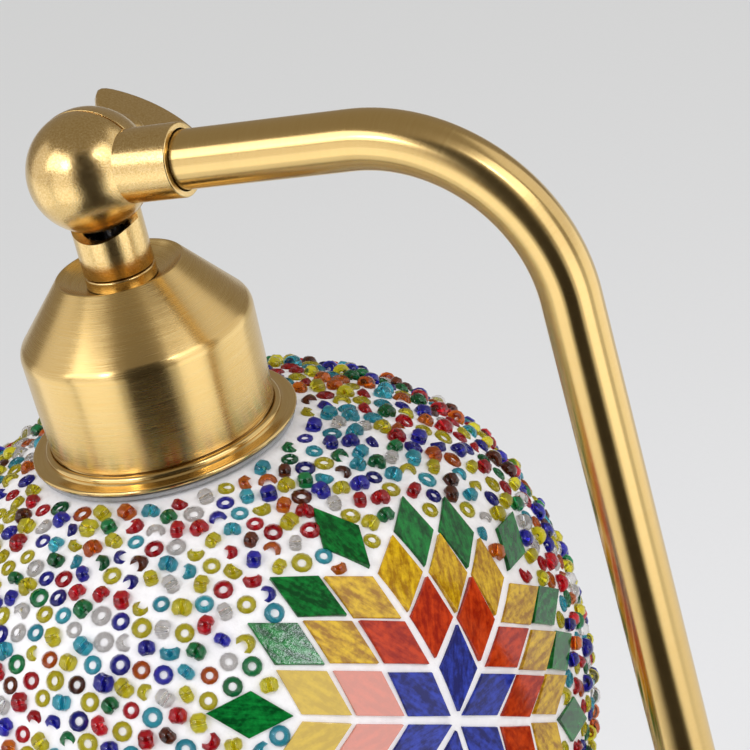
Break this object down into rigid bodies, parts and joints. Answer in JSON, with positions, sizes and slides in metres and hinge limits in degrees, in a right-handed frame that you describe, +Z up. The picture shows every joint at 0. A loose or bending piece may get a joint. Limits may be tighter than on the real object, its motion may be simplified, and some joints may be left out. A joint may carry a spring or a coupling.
{
  "type": "mosaic glass table lamp",
  "caption": "Swan-neck brass table lamp: a bent tube on a weighted round base holds a tilting brass cup and a closed glass globe covered in seed-bead and tile mosaic.",
  "frame": {"origin": "centre of the base pad's underside, where the lamp stands", "axes": "+Z up, +X from the tilting knuckle along the arm to the upright, +Y towards the wing screw at the back of the knuckle"},
  "size_m": [0.2075, 0.1592, 0.3965],
  "materials": {
    "satin_brass": "satin, brushed",
    "cast_brass": "fine-grained satin",
    "steel": "zinc plated",
    "iron": "painted",
    "pad": "matt",
    "gasket": "matt",
    "black_plastic": "matt",
    "ceramic": "glazed",
    "bulb_glass": "opal",
    "globe_glass": "clear",
    "mosaic": "white grout set with glass beads and tiles"
  },
  "bodies": {
    "stand": {"base_pad": "pad", "base_plate": "steel", "plate_screw_1": "steel", "plate_screw_2": "steel", "plate_screw_3": "steel", "plate_screw_4": "steel", "base_weight": "iron", "base_shell": "satin_brass", "cord_bushing": "pad", "leg_escutcheon": "satin_brass", "leg_nipple": "steel", "leg_washer": "steel", "leg_nut": "steel", "arm_tube": "satin_brass", "knuckle_front": "cast_brass", "arm_grub_screw": "steel", "friction_washer": "black_plastic"},
    "head": {"knuckle_back": "cast_brass", "stem_nipple": "steel", "lead_tail": "black_plastic", "lock_ring": "cast_brass", "cup": "satin_brass", "cup_washer": "steel", "cup_nut": "steel", "holder_dome": "black_plastic", "holder_body": "black_plastic", "holder_insert": "ceramic", "centre_contact": "satin_brass", "thread_sleeve": "satin_brass", "bulb_tip": "steel", "bulb_cap": "steel", "bulb_glass": "bulb_glass", "globe_collar": "satin_brass", "neck_gasket": "gasket", "neck_ring": "satin_brass", "glass_globe": "globe_glass", "mosaic_coat": "mosaic"},
    "wing": {"wing_screw": "cast_brass", "spring_washer": "steel"}
  },
  "joints": [
    {"name": "head_tilt", "type": "hinge", "parent": "stand", "child": "head", "pos_m": [-0.0455, 0, 0.384], "axis": [0, 1, 0], "range_deg": [-6, 85]},
    {"name": "wing_turn", "type": "hinge", "parent": "stand", "child": "wing", "pos_m": [-0.0455, 0, 0.384], "axis": [0, 1, 0], "range_deg": [0, 180]}
  ]
}
